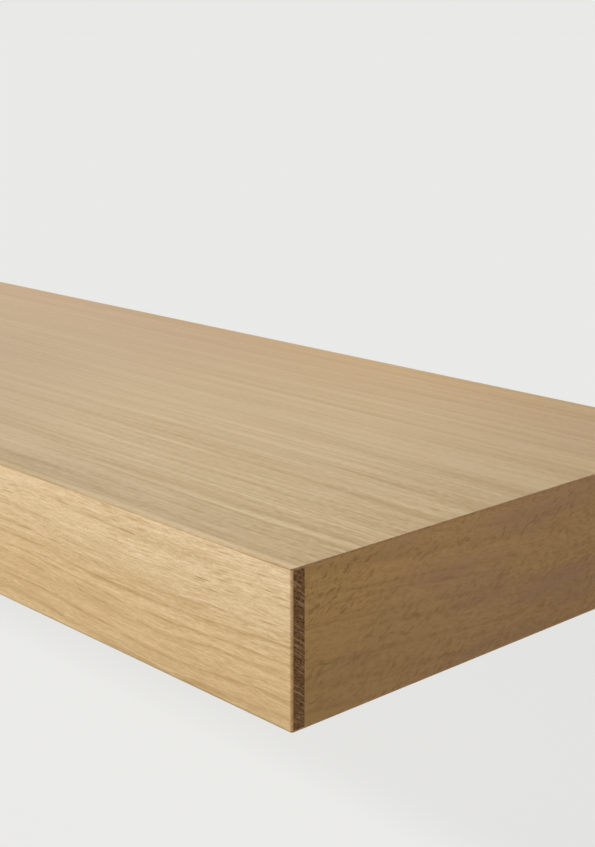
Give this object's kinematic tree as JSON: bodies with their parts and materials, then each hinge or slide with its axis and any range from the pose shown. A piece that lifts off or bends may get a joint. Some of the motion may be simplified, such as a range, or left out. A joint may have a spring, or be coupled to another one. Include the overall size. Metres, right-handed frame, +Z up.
{
  "type": "wall shelf",
  "caption": "Thick floating wall shelf: a hollow box faced with oak veneer and a solid oak lipping that slides onto a hidden steel rod bracket.",
  "frame": {"origin": "middle of the wall plate's back face, which lies on the wall", "axes": "+X along the shelf to the right as seen from the room, +Y into the wall, +Z up"},
  "size_m": [0.5, 0.22, 0.05],
  "materials": {
    "oak_top": "matt oiled oak veneer, straight grain",
    "oak_front": "matt oiled solid oak, plain-sawn",
    "oak_end": "matt oiled oak with ray flecks",
    "fibreboard": "raw medium-density fibreboard",
    "softwood": "planed softwood",
    "beech": "plain beech dowel",
    "paper_core": "raw brown paper",
    "brass": "machined brass",
    "black_steel": "black oxide",
    "powder_coat": "fine-texture dark grey powder coat",
    "bright_steel": "drawn bright steel bar",
    "weld_steel": "heat-tinted weld bead"
  },
  "bodies": {
    "bracket": {"wall_plate": "powder_coat", "left_rod": "bright_steel", "right_rod": "bright_steel", "left_weld": "weld_steel", "right_weld": "weld_steel"},
    "shelf": {"top_veneer": "oak_top", "bottom_veneer": "oak_top", "front_lipping": "oak_front", "left_end_lipping": "oak_end", "right_end_lipping": "oak_end", "top_panel": "fibreboard", "bottom_panel": "fibreboard", "front_rail": "softwood", "rear_rail": "softwood", "left_end_rail": "softwood", "right_end_rail": "softwood", "left_rod_block": "softwood", "right_rod_block": "softwood", "centre_rib": "softwood", "front_left_dowel": "beech", "front_right_dowel": "beech", "rear_left_dowel": "beech", "rear_right_dowel": "beech", "left_outer_honeycomb": "paper_core", "left_inner_honeycomb": "paper_core", "right_inner_honeycomb": "paper_core", "right_outer_honeycomb": "paper_core", "left_insert": "brass", "right_insert": "brass"},
    "left_screw": {"left_set_screw": "black_steel"},
    "right_screw": {"right_set_screw": "black_steel"}
  },
  "joints": [
    {"name": "shelf_slide", "type": "slide", "parent": "bracket", "child": "shelf", "axis": [0, -1, 0], "range_m": [0, 0.135]},
    {"name": "left_screw_turn", "type": "hinge", "parent": "shelf", "child": "left_screw", "pos_m": [-0.14, -0.06, -0.0143], "axis": [0, 0, 1], "range_deg": [-720, 0]},
    {"name": "right_screw_turn", "type": "hinge", "parent": "shelf", "child": "right_screw", "pos_m": [0.14, -0.06, -0.0143], "axis": [0, 0, 1], "range_deg": [-720, 0]}
  ]
}
